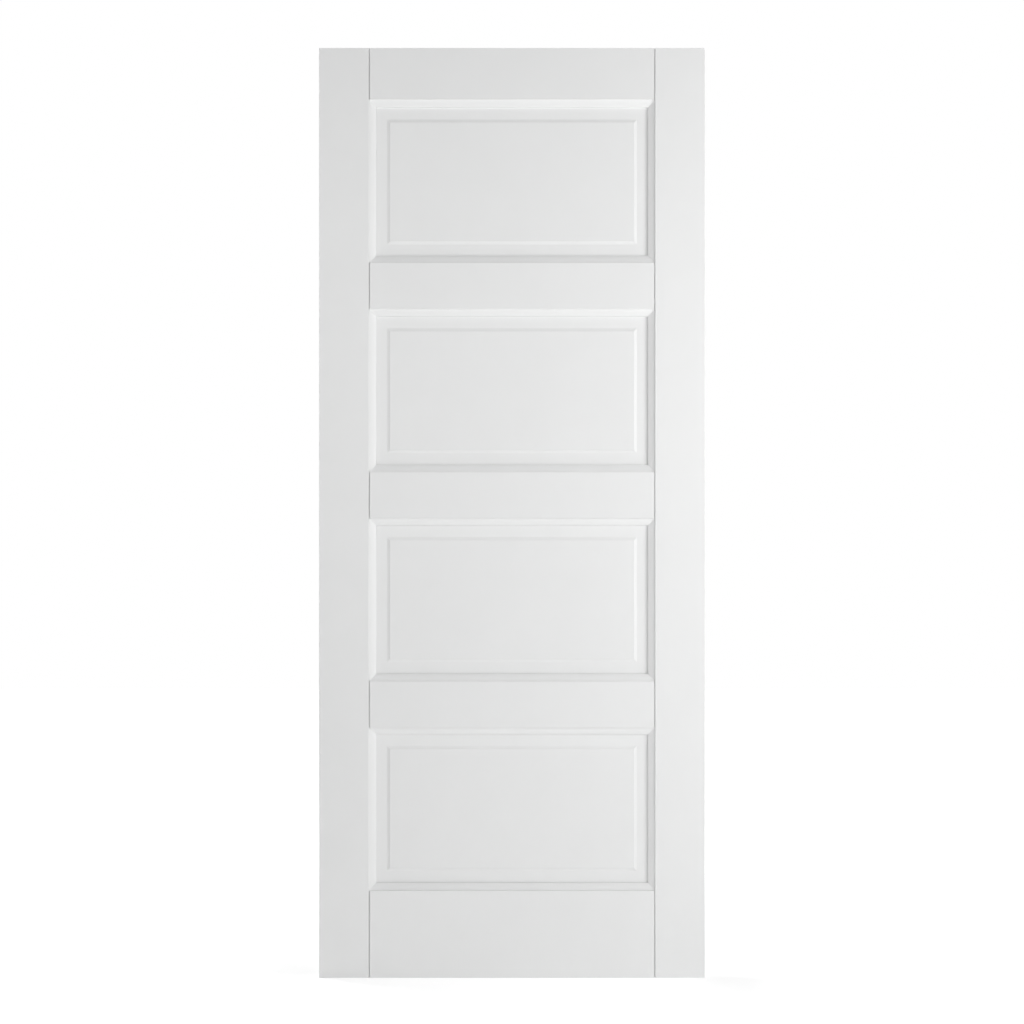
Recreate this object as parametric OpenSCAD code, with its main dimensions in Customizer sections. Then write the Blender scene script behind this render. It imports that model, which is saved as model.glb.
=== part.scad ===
// Panelled fire door leaf. Two lipped stiles and five rails carry an ovolo moulding and a panel
// groove on their inner edges. The rail ends are coped over the stiles' moulding and held by dowels.
// Four raised and fielded panels float in the grooves, each a fire-resisting core between two skins,
// with a strip of intumescent seal round its edge.
// Millimetres, +Z up. The origin is the middle of the bottom edge, and the front looks along -Y.

/* [Leaf] */
// Width of the leaf over its lippings
leaf_w = 822; // [610:1:1000]
// Height of the leaf
leaf_h = 1981; // [1850:1:2200]
// Thickness of the leaf
leaf_t = 44; // [40:1:60]

/* [Stiles and rails] */
// Flat face of each stile, lipping included
stile_w = 106; // [90:1:130]
// Flat face of the top rail
top_rail_h = 110; // [90:1:150]
// Flat face of each of the three cross rails
cross_rail_h = 99; // [80:1:130]
// Flat face of the bottom rail
bottom_rail_h = 186; // [160:1:240]
// Thickness of the hardwood lipping on each long edge
lipping_t = 10; // [6:1:16]
// Bevel on the long corners of the lippings
arris = 1; // [0.5:0.1:3]
// Width of the shadow line where a rail meets a stile
shadow_line_w = 2; // [0.4:0.1:3]
// Glue line between a coped rail end and the stile
glue_line = 0.1; // [0.05:0.05:0.3]

/* [Moulding] */
// Width of the moulding on the inner edge of stiles and rails
moulding_w = 15; // [13:0.5:20]
// Step from the flat face down to the ovolo
top_quirk = 3.5; // [1:0.1:5]
// Slope of the ovolo where it leaves that step, in degrees
ovolo_slope = 7; // [3:1:12]
// Fall of the ovolo across the moulding
ovolo_d = 5; // [3.5:0.1:8]
// Step from the end of the ovolo down to the panel
bottom_quirk = 3.5; // [1:0.1:6]
// Depth of the panel groove, from the moulding's edge
groove_d = 12; // [9:0.5:12.5]

/* [Panels] */
// Flat margin between the moulding and the raised field, at the sides
side_margin = 23; // [10:1:60]
// Flat margin between the moulding and the raised field, above and below
end_margin = 25; // [10:1:60]
// Width of the sloping shoulder round the raised field
shoulder_w = 6; // [2:0.5:20]
// Rise of the field above its margin
field_rise = 2.4; // [1.5:0.1:5]
// Square step at the top of that rise, from the shoulder to the field
field_step = 1; // [0.4:0.1:2]
// Thickness of the fire-resisting core between the skins
fire_core_t = 4; // [2:0.1:8]
// Clearance between a panel face and the groove
panel_fit = 0.2; // [0.1:0.05:0.4]
// Room for a panel to move, between its edge and the seal
panel_float = 0.5; // [0.2:0.1:0.9]

/* [Seals] */
// Thickness of the intumescent strip in the bottom of each groove
seal_t = 2; // [1:0.1:3]
// Clearance at the sides and ends of a strip
seal_fit = 0.3; // [0.1:0.1:0.8]

/* [Dowels] */
// Diameter of the dowels
dowel_d = 12; // [8:1:14]
// Length of the dowels, half in the stile and half in the rail
dowel_l = 120; // [80:5:140]
// Spacing of the dowels in one joint
dowel_pitch = 50; // [30:1:60]
// Bevel on the ends of a dowel
dowel_bevel = 1.5; // [0.5:0.1:3]
// Clearance round a dowel
dowel_fit = 0.1; // [0.05:0.05:0.2]
// Room for glue past each end of a dowel
dowel_end_room = 0.8; // [0.2:0.1:3]

/* [Hidden] */
$fn = 96;
// Length by which pieces of one solid run into each other, or cutters run past a face
weld = 1;
FRONT = -1;
BACK = 1;
LEFT = -1;
RIGHT = 1;

RAIL_NAMES = ["bottom", "lower_cross", "middle_cross", "upper_cross", "top"];
RAIL_HEIGHTS = [bottom_rail_h, cross_rail_h, cross_rail_h, cross_rail_h, top_rail_h];
RAIL_DOWELS = [3, 2, 2, 2, 2];
PANEL_NAMES = ["bottom", "lower", "upper", "top"];
last_rail = len(RAIL_NAMES) - 1;
last_panel = len(PANEL_NAMES) - 1;

// Clear space between the flat faces of two stiles, and of two neighbouring rails
opening_w = leaf_w - 2 * stile_w;
opening_h = (leaf_h - rails_below(len(RAIL_HEIGHTS))) / len(PANEL_NAMES);

// Ovolo: a convex arc that falls by ovolo_d over moulding_w and grows steeper on its way
ovolo_half_turn = atan2(ovolo_d, moulding_w) - ovolo_slope;
ovolo_r = norm([moulding_w, ovolo_d]) / (2 * sin(ovolo_half_turn));
face_to_panel = top_quirk + ovolo_d + bottom_quirk;
groove_w = leaf_t - 2 * face_to_panel;
// Distance from the flat face's edge to the bottom of the groove
groove_floor = moulding_w - groove_d;

// Panel outline in the grooves, and what shows of it between the mouldings
panel_inset = groove_floor + seal_t + panel_float;
panel_w = opening_w - 2 * panel_inset;
panel_h = opening_h - 2 * panel_inset;
panel_t = groove_w - 2 * panel_fit;
skin_t = (panel_t - fire_core_t) / 2;
field_w = opening_w - 2 * (moulding_w + side_margin);
field_h = opening_h - 2 * (moulding_w + end_margin);

// Height of all the rails below rail i, then where each rail, panel and dowel sits
function rails_below(i) = i == 0 ? 0 : rails_below(i - 1) + RAIL_HEIGHTS[i - 1];
function rail_z(i) = rails_below(i) + i * opening_h;
function panel_z(i) = rail_z(i) + RAIL_HEIGHTS[i] + opening_h / 2;
function dowel_z(i, k) = rail_z(i) + RAIL_HEIGHTS[i] / 2 + (k - (RAIL_DOWELS[i] - 1) / 2) * dowel_pitch;

PRIMER = [0.87, 0.88, 0.87];
BEECH = [0.80, 0.66, 0.46];
CHIPBOARD = [0.72, 0.58, 0.40];
GRAPHITE = [0.24, 0.24, 0.26];

// Draws its children as they are for the left side, and mirrored for the right
module on_side(side) {
    mirror([side == RIGHT ? 1 : 0, 0, 0]) children();
}

// Carries a drawing of (height, depth) to the X axis and extrudes it along X
module extrude_across(length) {
    rotate([0, -90, 0]) linear_extrude(length, center = true) children();
}

// Section of the moulding past the edge of a flat face, with its groove.
// A gap above zero gives the cutter that copes another piece over it with that clearance.
module moulding_section(gap = 0) {
    difference() {
        for (face = [0, 1]) mirror([0, face]) intersection() {
            translate([0, leaf_t / 2 - top_quirk] - ovolo_r * [sin(ovolo_slope), cos(ovolo_slope)])
                circle(r = ovolo_r + gap);
            translate([-weld, -weld]) square([weld + moulding_w + gap, weld + leaf_t / 2]);
        }
        translate([groove_floor + gap, gap - groove_w / 2])
            square([groove_d + weld, groove_w - 2 * gap]);
    }
}

// Section of a stile, from the lipping inwards
module stile_section() {
    translate([lipping_t, -leaf_t / 2]) square([stile_w - lipping_t, leaf_t]);
    translate([stile_w, 0]) moulding_section();
}

// Section of a rail, drawn as (height, depth)
module rail_section(i) {
    translate([0, -leaf_t / 2]) square([RAIL_HEIGHTS[i], leaf_t]);
    if (i < last_rail) translate([RAIL_HEIGHTS[i], 0]) moulding_section();
    if (i > 0) mirror([1, 0]) moulding_section();
}

// Blind holes of one rail's joint with the left stile, half in each piece
module dowel_holes(i) {
    for (k = [0 : RAIL_DOWELS[i] - 1])
        translate([groove_floor - opening_w / 2, 0, dowel_z(i, k)]) rotate([0, 90, 0])
            cylinder(d = dowel_d + 2 * dowel_fit, h = dowel_l + 2 * dowel_end_room, center = true);
}

module stile(side) {
    color(PRIMER) on_side(side) difference() {
        translate([-leaf_w / 2, 0, 0]) linear_extrude(leaf_h) stile_section();
        for (i = [0 : last_rail]) dowel_holes(i);
    }
}

module lipping(side) {
    depth = leaf_t / 2;
    color(PRIMER) on_side(side) translate([-leaf_w / 2, 0, 0]) linear_extrude(leaf_h)
        polygon([
            [arris, -depth], [lipping_t, -depth], [lipping_t, depth],
            [arris, depth], [0, depth - arris], [0, arris - depth]
        ]);
}

// Cutter that shapes a rail's left end: coped over the moulding, its face held back by the shadow line
module cope_cutter(i) {
    reach = moulding_w + weld;
    translate([-opening_w / 2, 0, rail_z(i) - reach]) linear_extrude(RAIL_HEIGHTS[i] + 2 * reach) {
        moulding_section(glue_line);
        translate([-weld, -leaf_t / 2 - weld]) square([weld + shadow_line_w, leaf_t + 2 * weld]);
    }
}

module rail(i) {
    color(PRIMER) difference() {
        translate([0, 0, rail_z(i)]) extrude_across(opening_w) rail_section(i);
        for (side = [LEFT, RIGHT]) on_side(side) {
            cope_cutter(i);
            dowel_holes(i);
        }
    }
}

module dowel() {
    shank_l = dowel_l - 2 * dowel_bevel;
    rotate([0, 90, 0]) {
        cylinder(d = dowel_d, h = shank_l, center = true);
        for (end = [0, 1]) mirror([0, 0, end]) translate([0, 0, shank_l / 2])
            cylinder(d1 = dowel_d, d2 = dowel_d - 2 * dowel_bevel, h = dowel_bevel);
    }
}

module rail_dowels(i) {
    color(BEECH) for (side = [LEFT, RIGHT]) on_side(side)
        for (k = [0 : RAIL_DOWELS[i] - 1])
            translate([groove_floor - opening_w / 2, 0, dowel_z(i, k)]) dowel();
}

// Raised field with stepped, sloping shoulders mitred at the corners, standing on the plane y = 0
module raised_field() {
    intersection() {
        linear_extrude(field_h, center = true) shoulder_section(field_w);
        extrude_across(field_w) shoulder_section(field_h);
    }
}

// Section across a field of the given width, run into the skin that it stands on
module shoulder_section(width) {
    field = width / 2 - shoulder_w;
    step_foot = field_rise - field_step;
    polygon([
        [-width / 2, -weld], [width / 2, -weld], [width / 2, 0],
        [field, step_foot], [field, field_rise], [-field, field_rise], [-field, step_foot], [-width / 2, 0]
    ]);
}

module panel_skin(i, face) {
    color(PRIMER) translate([0, 0, panel_z(i)]) mirror([0, face == FRONT ? 1 : 0, 0]) {
        translate([-panel_w / 2, fire_core_t / 2, -panel_h / 2]) cube([panel_w, skin_t, panel_h]);
        translate([0, panel_t / 2, 0]) raised_field();
    }
}

module panel_fire_core(i) {
    color(CHIPBOARD) translate([0, 0, panel_z(i)])
        cube([panel_w, fire_core_t, panel_h], center = true);
}

// Four strips in the bottom of the grooves round a panel; the upright ones run past the level ones
module panel_seals(i) {
    groove_span_w = opening_w - 2 * groove_floor;
    groove_span_h = opening_h - 2 * groove_floor;
    strip_w = groove_w - 2 * seal_fit;
    color(GRAPHITE) translate([0, 0, panel_z(i)]) {
        for (side = [-1, 1]) {
            translate([side * (groove_span_w - seal_t) / 2, 0, 0])
                cube([seal_t, strip_w, groove_span_h - 2 * seal_fit], center = true);
            translate([0, 0, side * (groove_span_h - seal_t) / 2])
                cube([groove_span_w - 2 * (seal_t + seal_fit), strip_w, seal_t], center = true);
        }
    }
}

stile(LEFT);  // left_stile
stile(RIGHT);  // right_stile
lipping(LEFT);  // left_lipping
lipping(RIGHT);  // right_lipping
for (i = [0 : last_rail]) {
    rail(i);
    rail_dowels(i);
}
for (i = [0 : last_panel]) {
    panel_skin(i, FRONT);
    panel_skin(i, BACK);
    panel_fire_core(i);
    panel_seals(i);
}
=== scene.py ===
"""Looks of a panelled fire door leaf, primed white. Metres, +Z up, the front face looks along -Y."""
import math

import bpy
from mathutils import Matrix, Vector


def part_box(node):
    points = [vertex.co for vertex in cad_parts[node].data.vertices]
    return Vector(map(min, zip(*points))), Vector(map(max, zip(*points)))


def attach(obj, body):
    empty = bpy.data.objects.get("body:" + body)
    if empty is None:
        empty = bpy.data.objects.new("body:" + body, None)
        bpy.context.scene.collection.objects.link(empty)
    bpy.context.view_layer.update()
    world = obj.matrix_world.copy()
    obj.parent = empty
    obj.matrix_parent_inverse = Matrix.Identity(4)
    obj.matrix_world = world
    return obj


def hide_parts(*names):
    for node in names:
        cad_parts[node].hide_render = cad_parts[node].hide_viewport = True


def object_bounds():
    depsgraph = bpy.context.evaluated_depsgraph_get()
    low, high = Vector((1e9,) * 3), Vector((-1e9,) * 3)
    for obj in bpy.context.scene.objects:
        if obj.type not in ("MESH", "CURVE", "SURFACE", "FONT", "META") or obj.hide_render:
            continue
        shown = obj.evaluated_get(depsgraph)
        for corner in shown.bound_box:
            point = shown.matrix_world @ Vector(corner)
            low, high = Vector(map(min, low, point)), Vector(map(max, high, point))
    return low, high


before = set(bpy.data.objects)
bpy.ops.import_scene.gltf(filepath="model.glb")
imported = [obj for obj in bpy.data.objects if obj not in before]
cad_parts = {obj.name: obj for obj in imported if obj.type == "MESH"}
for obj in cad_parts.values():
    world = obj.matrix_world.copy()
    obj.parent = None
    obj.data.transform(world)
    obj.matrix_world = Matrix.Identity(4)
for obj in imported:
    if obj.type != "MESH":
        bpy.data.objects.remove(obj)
cad_low, cad_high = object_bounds()

# Section of the moulding on the inner edges of stiles and rails
MOULDING_W = 0.015
TOP_QUIRK = 0.0035
OVOLO_SLOPE = math.radians(7)
OVOLO_D = 0.005
BOTTOM_QUIRK = 0.0035
GROOVE_D = 0.012
GROOVE_FLOOR = MOULDING_W - GROOVE_D
FACE_TO_PANEL = TOP_QUIRK + OVOLO_D + BOTTOM_QUIRK
OVOLO_HALF_TURN = math.atan2(OVOLO_D, MOULDING_W) - OVOLO_SLOPE
OVOLO_R = math.hypot(MOULDING_W, OVOLO_D) / (2 * math.sin(OVOLO_HALF_TURN))

# Joints between stiles and rails
SHADOW_LINE_W = 0.002
GLUE_LINE = 0.0001

# Raised field of a panel
FIELD_RISE = 0.0024
FIELD_STEP = 0.001
SHOULDER_W = 0.006
SIDE_MARGIN = 0.023
END_MARGIN = 0.025
SHOULDER_SOFTNESS = 0.0012

# Softening of the sharp edges by sanding and paint
ARRIS_R = 0.0005
LIPPING_ARRIS_R = 0.001
STEP_DRAFT = 0.00005
ARRIS_STEPS = 6
OVOLO_STEPS = 16
SHOULDER_STEPS = 4

# Rails and panels from the bottom up
RAILS = ["bottom", "lower_cross", "middle_cross", "upper_cross", "top"]
PANELS = ["bottom", "lower", "upper", "top"]

# Corners of a rectangle in a stack, and its sides, each with the number of the corner where it starts
CORNERS = 4
BOTTOM, RIGHT, TOP, LEFT = range(CORNERS)

# Camera, with the leaf's height and middle as the photograph has them, in pixels
IMAGE_PX = 1024
LEAF_PX = 930
LEAF_MIDDLE_PX = (512, 513)
CAMERA_DISTANCE = 4.3
SENSOR_MM = 36

# Stretch of a texture's noise along x, y and z
TONE_PATCHES = (2.2, 2.2, 2.2)
SHEEN_PATCHES = (55.0, 55.0, 55.0)
SPRAY_GRAIN = (700.0, 700.0, 700.0)
UPRIGHT_GRAIN = (260.0, 260.0, 7.0)
LEVEL_GRAIN = (7.0, 260.0, 260.0)
END_GRAIN = (300.0, 90.0, 300.0)
DOWEL_GRAIN = (9.0, 600.0, 600.0)
CHIPS = (260.0, 260.0, 260.0)
GRAPHITE_FLAKES = (900.0, 900.0, 900.0)

# Colours
PRIMER_THIN = (0.806, 0.810, 0.808)
PRIMER_FULL = (0.816, 0.820, 0.818)
PRIMED_PORE = (0.70, 0.66, 0.58)
BEECH_PALE = (0.66, 0.48, 0.30)
BEECH_DARK = (0.52, 0.35, 0.20)
CHIPBOARD_PALE = (0.58, 0.44, 0.27)
CHIPBOARD_DARK = (0.36, 0.25, 0.14)

# Ramps: at which height of the noise a colour, a grey or a roughness is reached
PRIMER_TONES = ((0.30, PRIMER_THIN), (0.70, PRIMER_FULL))
PRIMER_SHEEN = ((0.25, 0.49), (0.75, 0.57))
THIN_PRIMER_TONES = ((0.30, PRIMED_PORE), (0.46, PRIMER_THIN), (0.75, PRIMER_FULL))
BEECH_TONES = ((0.32, BEECH_DARK), (0.68, BEECH_PALE))
CHIPBOARD_TONES = ((0.32, CHIPBOARD_DARK), (0.68, CHIPBOARD_PALE))
GRAPHITE_TONES = ((0.35, 0.010), (0.75, 0.035))

# Roughness where it is the same all over
THIN_PRIMER_ROUGHNESS = 0.65
WOOD_ROUGHNESS = 0.6
GRAPHITE_ROUGHNESS = 0.75

# Depth of the relief
SPRAY_DEPTH = 0.00002
PRIMED_GRAIN_DEPTH = 0.00002
PRIMED_PORE_DEPTH = 0.00006
WOOD_GRAIN_DEPTH = 0.00005
FLAKE_DEPTH = 0.0001

# Floor and backdrop: light they give, and brightness with which they are seen
WHITE = (1.0, 1.0, 1.0, 1.0)
FLOOR_SIZE = 14.0
FLOOR_COLOUR = (0.8, 0.8, 0.8, 1.0)
FLOOR_ROUGHNESS = 0.9
FLOOR_GLOW = 0.34
FLOOR_SEEN_NEAR = 0.45
FLOOR_SEEN_FAR = 0.95
SHADOW_REACH = (0.5, 1.5)
WALL_FILL = 0.36
CEILING_FILL = 0.0
BACKDROP_SEEN = 1.0

# Lamps for each face, their angles in degrees from straight in front towards the right
LAMPS = {
    "key": {"angle": 62, "distance": 2.5, "height": 1.45, "size": (0.5, 0.8), "power": 25.0},
    "strip": {"angle": 33, "distance": 2.5, "height": 1.1, "size": (0.4, 2.2), "power": 17.0},
    "fill": {"angle": -40, "distance": 2.0, "height": 1.7, "size": (0.4, 0.8), "power": 6.7},
}
FACE_TURNS = {"front": 0, "back": 180}
TOP_STRIP_RISE = 0.6
TOP_STRIP_POWER = 4.0


# Meshes

def arc(start, radius, first_slope, last_slope, steps):
    """(depth, reach) along a convex arc from its start, between two slopes to the face."""
    depth, reach = start
    slopes = [first_slope + (last_slope - first_slope) * k / steps for k in range(steps + 1)]
    return [(depth + radius * (math.cos(first_slope) - math.cos(s)),
             reach + radius * (math.sin(s) - math.sin(first_slope))) for s in slopes]


def moulded_edge():
    """The moulding's section as (depth, reach) from the face to the middle of the leaf,
    and for each stretch whether it is curved."""
    arris = arc((0, -ARRIS_R), ARRIS_R, 0, math.pi / 2, ARRIS_STEPS)
    ovolo_end_slope = OVOLO_SLOPE + 2 * OVOLO_HALF_TURN
    ovolo = arc((TOP_QUIRK, 0), OVOLO_R, OVOLO_SLOPE, ovolo_end_slope, OVOLO_STEPS)
    lip = [(FACE_TO_PANEL, MOULDING_W), (FACE_TO_PANEL + STEP_DRAFT, GROOVE_FLOOR)]
    points = arris + ovolo + lip
    curved = [True] * ARRIS_STEPS + [False] + [True] * OVOLO_STEPS + [False, False]
    return points, curved


def field_edge():
    """The raised field's section as (depth, reach) from its face to the margin round it,
    and for each stretch whether it is curved."""
    slope = math.atan2(FIELD_RISE - FIELD_STEP, SHOULDER_W)
    tangent = SHOULDER_SOFTNESS * math.tan(slope / 2)
    arris = arc((0, -SHOULDER_W - ARRIS_R), ARRIS_R, 0, math.pi / 2, ARRIS_STEPS)
    step_foot = [(FIELD_STEP, STEP_DRAFT - SHOULDER_W)]
    bend = arc((0, -tangent), SHOULDER_SOFTNESS, 0, slope, SHOULDER_STEPS)
    shoulder_foot = [(FIELD_RISE - depth, -reach) for depth, reach in reversed(bend)]
    points = arris + step_foot + shoulder_foot
    curved = [True] * ARRIS_STEPS + [False, False] + [True] * SHOULDER_STEPS
    return points, curved


def both_faces(points, curved, thickness):
    """Runs a half section from the front face to the back face."""
    back = [(thickness - depth, reach) for depth, reach in reversed(points)]
    return points + back, curved + [False] + curved[::-1]


def stack(name, levels, curved, materials, thin_sides=()):
    """A closed mesh from rectangles (y, x0, x1, z0, z1) that follow each other from front to back.

    curved says which stretches are shaded smooth, and thin_sides take the second, thinner coat."""
    verts = []
    for y, x0, x1, z0, z1 in levels:
        verts += [(x0, y, z0), (x1, y, z0), (x1, y, z1), (x0, y, z1)]
    faces = [tuple(range(CORNERS))]
    smooth = [False]
    thin = [False]
    for i, bend in enumerate(curved):
        near, far = CORNERS * i, CORNERS * (i + 1)
        for side in (BOTTOM, RIGHT, TOP, LEFT):
            after = (side + 1) % CORNERS
            faces.append((near + side, far + side, far + after, near + after))
            smooth.append(bend)
            thin.append(side in thin_sides)
    faces.append(tuple(reversed(range(len(verts) - CORNERS, len(verts)))))
    smooth.append(False)
    thin.append(False)

    mesh = bpy.data.meshes.new(name)
    mesh.from_pydata(verts, [], faces)
    mesh.polygons.foreach_set("use_smooth", smooth)
    mesh.polygons.foreach_set("material_index", [int(coat) for coat in thin])
    mitres = [edge.vertices[0] // CORNERS != edge.vertices[1] // CORNERS for edge in mesh.edges]
    mesh.edges.foreach_set("use_edge_sharp", mitres)
    for material in materials:
        mesh.materials.append(material)
    piece = bpy.data.objects.new(name, mesh)
    bpy.context.scene.collection.objects.link(piece)
    return piece


def stand_for(piece, node):
    """Puts a finished piece in a node's place."""
    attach(piece, "root")
    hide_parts(node)


def make_stile(side, materials):
    """A stile, with the moulding along its inner edge on both faces."""
    low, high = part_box(f"{side}_stile")
    points, curved = both_faces(*moulded_edge(), high.y - low.y)
    if side == "left":
        flat_edge = high.x - MOULDING_W
        levels = [(low.y + d, low.x, flat_edge + r, low.z, high.z) for d, r in points]
    else:
        flat_edge = low.x + MOULDING_W
        levels = [(low.y + d, flat_edge - r, high.x, low.z, high.z) for d, r in points]
    piece = stack(f"{side}_stile_primed", levels, curved, materials, thin_sides=(BOTTOM, TOP))
    stand_for(piece, f"{side}_stile")


def make_lipping(side, materials):
    """A strip on a long edge of the leaf, with its two outer arrises rounded."""
    low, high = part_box(f"{side}_lipping")
    arris = arc((0, -LIPPING_ARRIS_R), LIPPING_ARRIS_R, 0, math.pi / 2, ARRIS_STEPS)
    points, curved = both_faces(arris, [True] * ARRIS_STEPS, high.y - low.y)
    if side == "left":
        levels = [(low.y + d, low.x - r, high.x, low.z, high.z) for d, r in points]
    else:
        levels = [(low.y + d, low.x, high.x + r, low.z, high.z) for d, r in points]
    piece = stack(f"{side}_lipping_primed", levels, curved, materials, thin_sides=(BOTTOM, TOP))
    stand_for(piece, f"{side}_lipping")


def make_rail(index, materials):
    """A rail, with the moulding on its panel edges and its ends fitted to the stiles' moulding."""
    name = RAILS[index]
    low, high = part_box(f"{name}_rail")
    thickness = high.y - low.y
    above = index < len(RAILS) - 1
    below = index > 0
    flat_low = low.z + MOULDING_W if below else low.z
    flat_high = high.z - MOULDING_W if above else high.z
    half_opening = high.x + SHADOW_LINE_W

    points, curved = both_faces(*moulded_edge(), thickness)
    levels = []
    for depth, reach in points:
        if reach < 0:
            half_length = half_opening - SHADOW_LINE_W + reach
        else:
            half_length = half_opening - max(SHADOW_LINE_W, reach + GLUE_LINE)
        bottom = flat_low - reach if below else flat_low
        top = flat_high + reach if above else flat_high
        levels.append((low.y + depth, -half_length, half_length, bottom, top))
    thin_sides = []
    if not below:
        thin_sides.append(BOTTOM)
    if not above:
        thin_sides.append(TOP)
    piece = stack(f"{name}_rail_primed", levels, curved, materials, thin_sides)
    stand_for(piece, f"{name}_rail")


def panel_sight_height(name):
    """Height between the mouldings above and below a panel."""
    index = PANELS.index(name)
    rail_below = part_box(f"{RAILS[index]}_rail")[1].z
    rail_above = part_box(f"{RAILS[index + 1]}_rail")[0].z
    return rail_above - rail_below


def make_panel_skin(name, face, materials):
    """One face of a panel, with its raised field."""
    node = f"{name}_panel_{face}_skin"
    low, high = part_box(node)
    stile_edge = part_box("left_stile")[1].x
    middle_z = (low.z + high.z) / 2
    half_w, half_h = high.x, (high.z - low.z) / 2
    field_w = -stile_edge - SIDE_MARGIN
    field_h = panel_sight_height(name) / 2 - END_MARGIN

    points, curved = field_edge()
    levels = [(depth, field_w + reach, field_h + reach) for depth, reach in points]
    levels += [(FIELD_RISE, half_w, half_h), (high.y - low.y, half_w, half_h)]
    curved += [False, False]
    if face == "front":
        boxes = [(low.y + d, -w, w, middle_z - h, middle_z + h) for d, w, h in levels]
    else:
        boxes = [(high.y - d, -w, w, middle_z - h, middle_z + h) for d, w, h in reversed(levels)]
        curved = curved[::-1]
    piece = stack(f"{node}_primed", boxes, curved, materials)
    stand_for(piece, node)


# Materials

def new_material(name):
    """A material, its node tree and its shader."""
    material = bpy.data.materials.new(name)
    material.use_nodes = True
    tree = material.node_tree
    return material, tree, tree.nodes["Principled BSDF"]


def add(tree, kind, **settings):
    """A node with some of its sockets or properties set."""
    node = tree.nodes.new(kind)
    for key, value in settings.items():
        if key in node.inputs:
            node.inputs[key].default_value = value
        else:
            setattr(node, key, value)
    return node


def object_noise(tree, stretch, **settings):
    """Noise in the object's own metres, with its own scale along each axis."""
    coords = add(tree, "ShaderNodeTexCoord")
    mapping = add(tree, "ShaderNodeMapping", Scale=stretch)
    noise = add(tree, "ShaderNodeTexNoise", **settings)
    tree.links.new(coords.outputs["Object"], mapping.inputs["Vector"])
    tree.links.new(mapping.outputs["Vector"], noise.inputs["Vector"])
    return noise.outputs["Fac"]


def ramp(tree, value, stops):
    """A colour ramp with stops of (position, grey or colour)."""
    node = add(tree, "ShaderNodeValToRGB")
    elements = node.color_ramp.elements
    while len(elements) < len(stops):
        elements.new(1.0)
    for element, (position, tone) in zip(elements, stops):
        colour = tone if isinstance(tone, tuple) else (tone, tone, tone)
        element.position = position
        element.color = (*colour, 1.0)
    tree.links.new(value, node.inputs["Fac"])
    return node.outputs["Color"]


def bump(tree, height, distance, under=None):
    """A normal with relief, on top of another such normal if one is given."""
    node = add(tree, "ShaderNodeBump", Strength=1.0, Distance=distance)
    tree.links.new(height, node.inputs["Height"])
    if under is not None:
        tree.links.new(under, node.inputs["Normal"])
    return node.outputs["Normal"]


def primer(name, grain=None):
    """Satin white primer: sprayed texture, a faint change of tone, and timber grain showing through."""
    material, tree, shader = new_material(name)
    tone = object_noise(tree, TONE_PATCHES, Detail=5.0, Roughness=0.55)
    tree.links.new(ramp(tree, tone, PRIMER_TONES), shader.inputs["Base Color"])
    sheen = object_noise(tree, SHEEN_PATCHES, Detail=3.0)
    tree.links.new(ramp(tree, sheen, PRIMER_SHEEN), shader.inputs["Roughness"])
    spray = object_noise(tree, SPRAY_GRAIN, Detail=2.0)
    normal = bump(tree, spray, SPRAY_DEPTH)
    if grain is not None:
        fibres = object_noise(tree, grain, Detail=4.0, Roughness=0.6)
        normal = bump(tree, fibres, PRIMED_GRAIN_DEPTH, under=normal)
    tree.links.new(normal, shader.inputs["Normal"])
    return material


def thin_primer(name, grain):
    """One thin coat on the top and bottom edges, with open pores of the timber in it."""
    material, tree, shader = new_material(name)
    shader.inputs["Roughness"].default_value = THIN_PRIMER_ROUGHNESS
    fibres = object_noise(tree, grain, Detail=6.0, Roughness=0.65)
    tree.links.new(ramp(tree, fibres, THIN_PRIMER_TONES), shader.inputs["Base Color"])
    tree.links.new(bump(tree, fibres, PRIMED_PORE_DEPTH), shader.inputs["Normal"])
    return material


def bare_wood(name, tones, grain):
    """Unpainted wood, with its grain stretched as given."""
    material, tree, shader = new_material(name)
    shader.inputs["Roughness"].default_value = WOOD_ROUGHNESS
    fibres = object_noise(tree, grain, Detail=6.0, Roughness=0.65)
    tree.links.new(ramp(tree, fibres, tones), shader.inputs["Base Color"])
    tree.links.new(bump(tree, fibres, WOOD_GRAIN_DEPTH), shader.inputs["Normal"])
    return material


def graphite_seal():
    """Dark, flaky strip of intumescent graphite."""
    material, tree, shader = new_material("graphite_seal")
    shader.inputs["Roughness"].default_value = GRAPHITE_ROUGHNESS
    flakes = object_noise(tree, GRAPHITE_FLAKES, Detail=3.0)
    tree.links.new(ramp(tree, flakes, GRAPHITE_TONES), shader.inputs["Base Color"])
    tree.links.new(bump(tree, flakes, FLAKE_DEPTH), shader.inputs["Normal"])
    return material


# Studio

def between(tree, value, low, high, span=(0.0, 1.0)):
    """Goes from low to high while value crosses its span; either end may be a node's output."""
    node = add(tree, "ShaderNodeMapRange")
    node.inputs["From Min"].default_value, node.inputs["From Max"].default_value = span
    for name, end in (("To Min", low), ("To Max", high)):
        if isinstance(end, float):
            node.inputs[name].default_value = end
        else:
            tree.links.new(end, node.inputs[name])
    tree.links.new(value, node.inputs["Value"])
    return node.outputs["Result"]


def in_sight(tree):
    """1 for the rays that show a surface: straight, reflected or through glass."""
    path = add(tree, "ShaderNodeLightPath")
    value = path.outputs["Is Camera Ray"]
    for ray in ("Is Glossy Ray", "Is Transmission Ray"):
        either = add(tree, "ShaderNodeMath", operation="MAXIMUM")
        tree.links.new(value, either.inputs[0])
        tree.links.new(path.outputs[ray], either.inputs[1])
        value = either.outputs["Value"]
    return value


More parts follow.
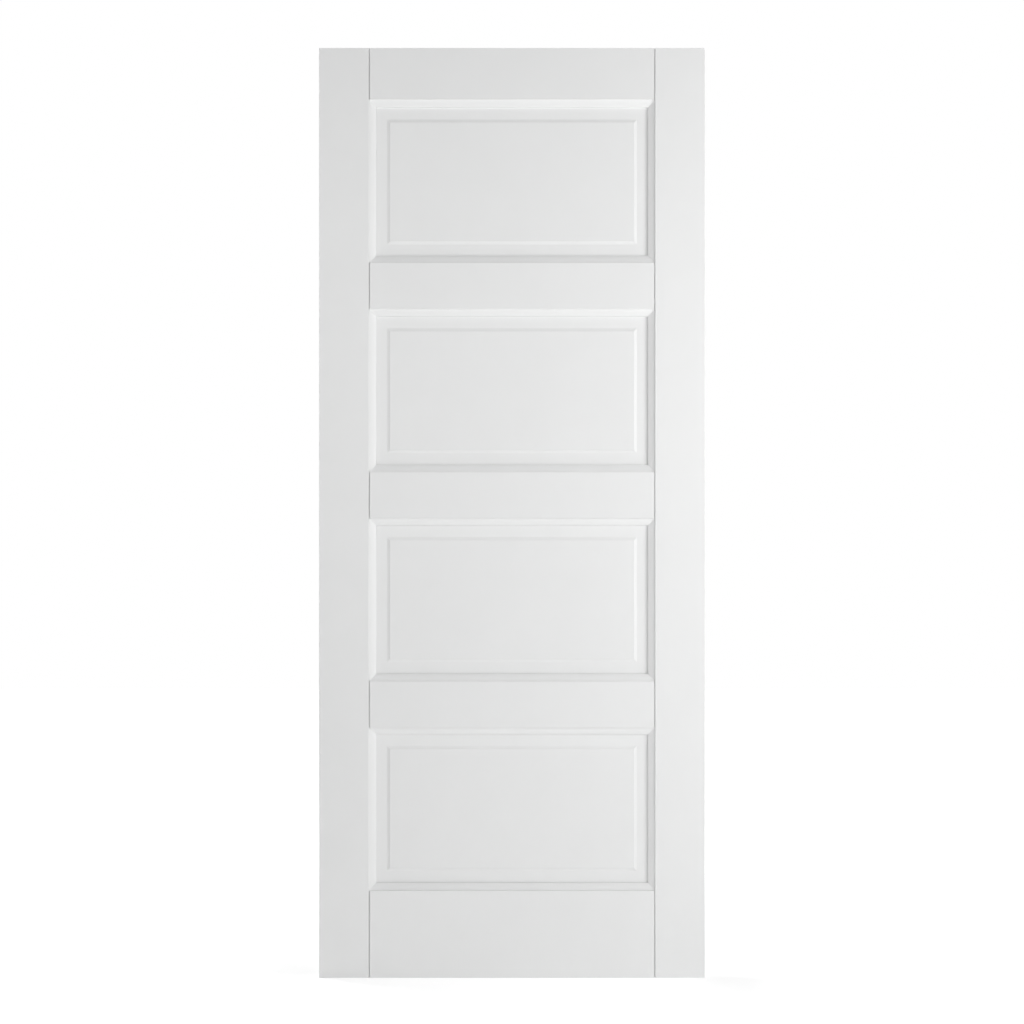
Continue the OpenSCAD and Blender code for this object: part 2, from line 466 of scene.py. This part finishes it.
def make_floor():
    """A pale floor that fades to white away from the leaf and takes the leaf's shadow."""
    bpy.ops.mesh.primitive_plane_add(size=FLOOR_SIZE, location=(0, 0, cad_low.z))
    floor = bpy.context.object
    floor.name = "studio_floor"
    material, tree, shader = new_material("studio_floor")
    shader.inputs["Base Color"].default_value = FLOOR_COLOUR
    shader.inputs["Roughness"].default_value = FLOOR_ROUGHNESS
    coords = add(tree, "ShaderNodeTexCoord")
    distance = add(tree, "ShaderNodeVectorMath", operation="LENGTH")
    tree.links.new(coords.outputs["Object"], distance.inputs[0])
    seen = between(tree, distance.outputs["Value"], FLOOR_SEEN_NEAR, FLOOR_SEEN_FAR, SHADOW_REACH)
    glow = between(tree, in_sight(tree), FLOOR_GLOW, seen)
    shader.inputs["Emission Color"].default_value = WHITE
    tree.links.new(glow, shader.inputs["Emission Strength"])
    floor.data.materials.append(material)


def make_world():
    """Soft light from all round that fades overhead, and plain white where it is seen."""
    world = bpy.data.worlds.new("studio")
    bpy.context.scene.world = world
    world.use_nodes = True
    tree = world.node_tree
    background = tree.nodes["Background"]
    background.inputs["Color"].default_value = WHITE
    coords = add(tree, "ShaderNodeTexCoord")
    direction = add(tree, "ShaderNodeSeparateXYZ")
    tree.links.new(coords.outputs["Generated"], direction.inputs["Vector"])
    fill = between(tree, direction.outputs["Z"], WALL_FILL, CEILING_FILL)
    strength = between(tree, in_sight(tree), fill, BACKDROP_SEEN)
    tree.links.new(strength, background.inputs["Strength"])


def lamp(name, place, away, size, power):
    """A rectangular lamp, out of the camera's sight, that shines against the direction away."""
    light = bpy.data.lights.new(name, "AREA")
    light.shape = "RECTANGLE"
    light.size, light.size_y = size
    light.energy = power
    holder = bpy.data.objects.new(name, light)
    bpy.context.scene.collection.objects.link(holder)
    holder.visible_camera = False
    holder.location = place
    holder.rotation_euler = away.to_track_quat("Z", "Y").to_euler()


def softbox(name, turn, angle, distance, height, size, power):
    """A lamp that faces the leaf, at an angle to the face that turn picks."""
    bearing = math.radians(turn + angle)
    away = Vector((math.sin(bearing), -math.cos(bearing), 0))
    lamp(name, distance * away + Vector((0, 0, height)), away, size, power)


def top_strip():
    """A lamp over the leaf and no thicker, so that it lights the top edge and neither face."""
    size = cad_high - cad_low
    place = (0, 0, cad_high.z + TOP_STRIP_RISE)
    lamp("top_strip", place, Vector((0, 0, 1)), (size.x, size.y), TOP_STRIP_POWER)


def make_camera():
    """A level camera straight in front of the leaf, framed as the photograph is."""
    middle = (cad_low + cad_high) / 2
    camera = bpy.data.cameras.new("camera")
    camera.sensor_width = SENSOR_MM
    leaf_share = LEAF_PX / IMAGE_PX
    camera.lens = SENSOR_MM * CAMERA_DISTANCE * leaf_share / (cad_high.z - cad_low.z)
    camera.shift_x = (IMAGE_PX / 2 - LEAF_MIDDLE_PX[0]) / IMAGE_PX
    camera.shift_y = (LEAF_MIDDLE_PX[1] - IMAGE_PX / 2) / IMAGE_PX
    holder = bpy.data.objects.new("camera", camera)
    bpy.context.scene.collection.objects.link(holder)
    holder.location = (middle.x, cad_low.y - CAMERA_DISTANCE, middle.z)
    holder.rotation_euler = (math.radians(90), 0, 0)
    bpy.context.scene.camera = holder


def make_studio():
    """Floor, backdrop, lamps and camera."""
    make_floor()
    make_world()
    for face, turn in FACE_TURNS.items():
        for name, settings in LAMPS.items():
            softbox(f"{face}_{name}", turn, **settings)
    top_strip()
    make_camera()
    bpy.context.scene.view_settings.view_transform = "Standard"


def make_leaf():
    """The pieces in sight, and the looks of the CAD pieces inside the leaf."""
    upright_primer = primer("primer_on_upright_timber", UPRIGHT_GRAIN)
    level_primer = primer("primer_on_level_timber", LEVEL_GRAIN)
    panel_primer = primer("primer_on_fibreboard")
    end_primer = thin_primer("thin_primer_on_end_grain", END_GRAIN)
    edge_primer = thin_primer("thin_primer_on_long_grain", LEVEL_GRAIN)

    for side in ("left", "right"):
        make_stile(side, [upright_primer, end_primer])
        make_lipping(side, [upright_primer, end_primer])
    for index in range(len(RAILS)):
        make_rail(index, [level_primer, edge_primer])
    for name in PANELS:
        for face in ("front", "back"):
            make_panel_skin(name, face, [panel_primer])

    inner_looks = {
        "_dowels": bare_wood("beech", BEECH_TONES, DOWEL_GRAIN),
        "_fire_core": bare_wood("chipboard", CHIPBOARD_TONES, CHIPS),
        "_seals": graphite_seal(),
    }
    for name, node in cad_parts.items():
        for ending, look in inner_looks.items():
            if name.endswith(ending):
                node.data.materials.clear()
                node.data.materials.append(look)


make_leaf()
make_studio()
